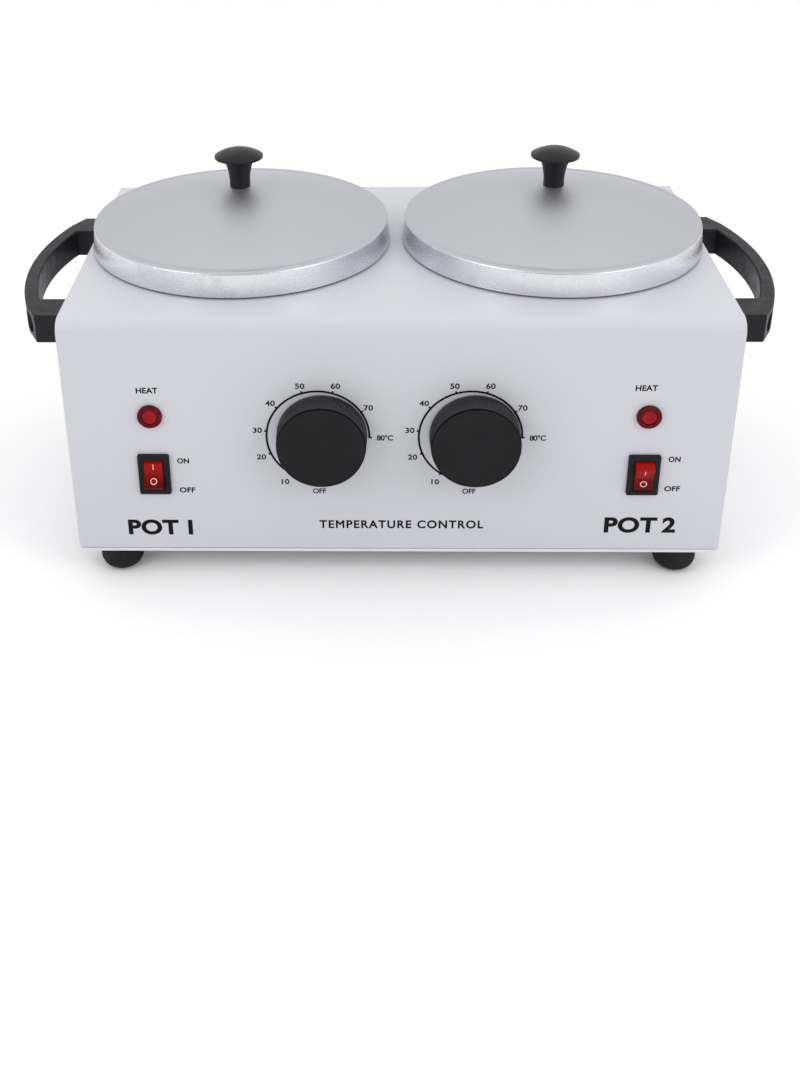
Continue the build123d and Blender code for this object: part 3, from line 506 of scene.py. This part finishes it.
def dial_piece(side):
    """A knob with a serrated side in a lighter copy of its plastic as painted light, a toothed bevel round its
    rim painted dark as shade and a plain dished face.
    """
    low, high = (Vector(corner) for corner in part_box(f"dial_knob_{side}"))
    base = (high.x - low.x) / 2
    tip = base - DIAL_TAPER
    centre = ((low.x + high.x) / 2, (low.z + high.z) / 2)
    front, back = low.y, high.y
    hollow_depth = back - DIAL_HOLLOW

    def serrated(radius):
        """Fine ribs, two to a tooth."""
        return lambda angle: radius - SERRATION * (0.5 - 0.5 * cos(2 * TEETH * angle))

    def toothed(radius):
        """A groove crossed by narrow teeth."""
        def reach(angle):
            return radius - TOOTH * min(1.0, max(0.0, TOOTH_SHARPNESS * (TOOTH_SHARE - cos(TEETH * angle))))

        return reach

    def grip(form):
        first = lathe(form, centre, (
            (back, base - 2.2 * MM),
            (back, base - 0.4 * MM),
            (back - 0.3 * MM, serrated(base)),
            (front + 1.5 * MM, serrated(tip)),
            (front + 1.4 * MM, tip - 2.2 * MM),
        ), front + 1.4 * MM)
        inner = [form.verts.new((vert.co.x, hollow_depth, vert.co.z)) for vert in first]
        floor_middle = form.verts.new((centre[0], hollow_depth, centre[1]))
        for i in range(STEPS):
            form.faces.new((first[i], first[i - 1], inner[i - 1], inner[i]))
            form.faces.new((inner[i], inner[i - 1], floor_middle))

    def groove(form):
        first = lathe(form, centre, (
            (front + 1.5 * MM, tip - 0.1 * MM),
            (front + 1.3 * MM, toothed(tip - 0.1 * MM)),
            (front + 0.5 * MM, toothed(tip - 0.55 * MM)),
            (front + 0.4 * MM, tip - 1.6 * MM),
        ), front + 0.4 * MM)
        form.faces.new(list(reversed(first)))

    def face(form):
        rings = ((0.6, 1.0), (0.3, 0.42), (0.1, 0.42), (0.0, 0.7), (0.02, 1.3), (0.2, 1.7), (0.22, 2.4))
        first = lathe(form, centre, [(front + y * MM, tip - r * MM) for y, r in rings], front + 0.16 * MM)
        form.faces.new(list(reversed(first)))

    def pointer(form):
        foot = centre[1] - tip
        bar(form, (centre[0], foot + 2.6 * MM), (centre[0], foot + 5.0 * MM), 0.6 * MM, front + 0.24 * MM)

    def add(part, builder, material, smooth=True):
        name = f"dial_{part}_{side}"
        return add_piece(name, mesh_from(name, builder), material, f"dial_{side}_body", smooth)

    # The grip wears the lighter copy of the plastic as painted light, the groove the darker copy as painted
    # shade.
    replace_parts(add("grip", grip, DIAL_SIDE_PAINTED_LIGHT), f"dial_knob_{side}")
    add("groove", groove, DIAL_GROOVE_PAINTED_SHADE)
    add("face", face, MATERIALS["dial_plastic"])
    add("pointer", pointer, MATERIALS["switch_plastic"], smooth=False)


def rocker_marks(side):
    """The printed bar and ring on the two halves of the rocker's face."""
    joint = next(j for j in frame["record"]["behaviour"]["joints"] if j["name"] == f"rocker_{side}_tilt")
    pivot = Vector(joint["pos_m"])
    turn = Matrix.Translation(pivot) @ Matrix.Rotation(radians(ROCKER_TILT[side]), 4, "X")
    crease = turn @ Matrix.Translation((0, -ROCKER_WAIST, 0))
    upper = crease @ Matrix.Rotation(radians(ROCKER_SLOPE), 4, "X")
    lower = crease @ Matrix.Rotation(radians(-ROCKER_SLOPE), 4, "X")

    def on_bar(form):
        bar(form, (0, 3.1 * MM), (0, 6.0 * MM), 0.4 * MM, 0.0)

    def off_ring(form):
        ring_band(form, (0, -2.9 * MM), 1.4 * MM, 0.42 * MM, 0, tau, 0.0, MARK_STEPS)

    for name, builder, place in (("on_mark", on_bar, upper), ("off_mark", off_ring, lower)):
        mesh = mesh_from(f"{name}_{side}", builder)
        mesh.transform(place)
        add_piece(f"{name}_{side}", mesh, PINK_INK, f"rocker_{side}_body", False)


# ---- stage ----
def floor():
    """A plain pale floor that runs past the picture on every side."""
    def plane(form):
        corners = [(-FLOOR_MARGIN, -FLOOR_MARGIN), (FLOOR_MARGIN, -FLOOR_MARGIN),
                   (FLOOR_MARGIN, FLOOR_MARGIN), (-FLOOR_MARGIN, FLOOR_MARGIN)]
        form.faces.new([form.verts.new((x, y, 0)) for x, y in corners])

    shader = Shader("floor_mat")
    shader.colour(shader.ramp(shader.noise(2.0, 2.0), (0.93, 0.93, 0.93), (0.95, 0.95, 0.95)))
    shader.rough(shader.spread(shader.noise(40.0, 2.0), 0.85, 0.95))
    mesh = mesh_from("floor", plane)
    mesh.materials.append(shader.material)
    sheet = bpy.data.objects.new("floor", mesh)
    bpy.context.collection.objects.link(sheet)


def softbox(name, place, power):
    """A square lamp aimed at the case."""
    lamp = bpy.data.lights.new(name, "AREA")
    lamp.energy = power
    lamp.size = SOFTBOX_SIZE
    light = bpy.data.objects.new(name, lamp)
    bpy.context.collection.objects.link(light)
    aim = (Vector(LIGHT_TARGET) - Vector(place)).to_track_quat("-Z", "Y")
    light.matrix_world = Matrix.Translation(place) @ aim.to_matrix().to_4x4()


def studio_world():
    """A white studio all round, brightest overhead and a little darker behind the camera."""
    world = bpy.data.worlds.new("studio")
    bpy.context.scene.world = world
    world.use_nodes = True
    nodes, links = world.node_tree.nodes, world.node_tree.links
    axes = nodes.new("ShaderNodeSeparateXYZ")
    links.new(nodes.new("ShaderNodeTexCoord").outputs["Generated"], axes.inputs["Vector"])

    def spread(value, start, end, low, high):
        node = nodes.new("ShaderNodeMapRange")
        node.interpolation_type = "SMOOTHSTEP"
        for name, number in (("From Min", start), ("From Max", end), ("To Min", low), ("To Max", high)):
            node.inputs[name].default_value = number
        links.new(value, node.inputs["Value"])
        return node.outputs["Result"]

    overhead = spread(axes.outputs["Z"], -0.1, 1.0, SKY_HORIZON, SKY_ZENITH)
    front = spread(axes.outputs["Y"], -1.0, -0.2, SKY_FRONT, 1.0)
    product = nodes.new("ShaderNodeMath")
    product.operation = "MULTIPLY"
    links.new(overhead, product.inputs[0])
    links.new(front, product.inputs[1])
    links.new(product.outputs["Value"], nodes["Background"].inputs["Strength"])
    nodes["Background"].inputs["Color"].default_value = (1.0, 1.0, 1.0, 1)


def lights():
    studio_world()
    for name, place, power in SOFTBOXES:
        softbox(name, place, power)
    bpy.context.scene.view_settings.view_transform = "Standard"


def camera():
    data = bpy.data.cameras.new("camera")
    data.lens = CAMERA_LENS
    data.sensor_width = CAMERA_SENSOR
    data.shift_x, data.shift_y = CAMERA_SHIFT
    data.clip_start = 0.01
    view = bpy.data.objects.new("camera", data)
    bpy.context.collection.objects.link(view)
    view.matrix_world = (Matrix.Translation(CAMERA_PLACE) @ Matrix.Rotation(CAMERA_YAW, 4, "Z")
                         @ Matrix.Rotation(pi / 2 - CAMERA_PITCH, 4, "X") @ Matrix.Rotation(CAMERA_ROLL, 4, "Z"))
    bpy.context.scene.camera = view


dress_nodes()
print_legends()
for side_name in SIDES:
    print_dial_scale(side_name)
    dial_piece(side_name)
    rocker_marks(side_name)
floor()
lights()
camera()
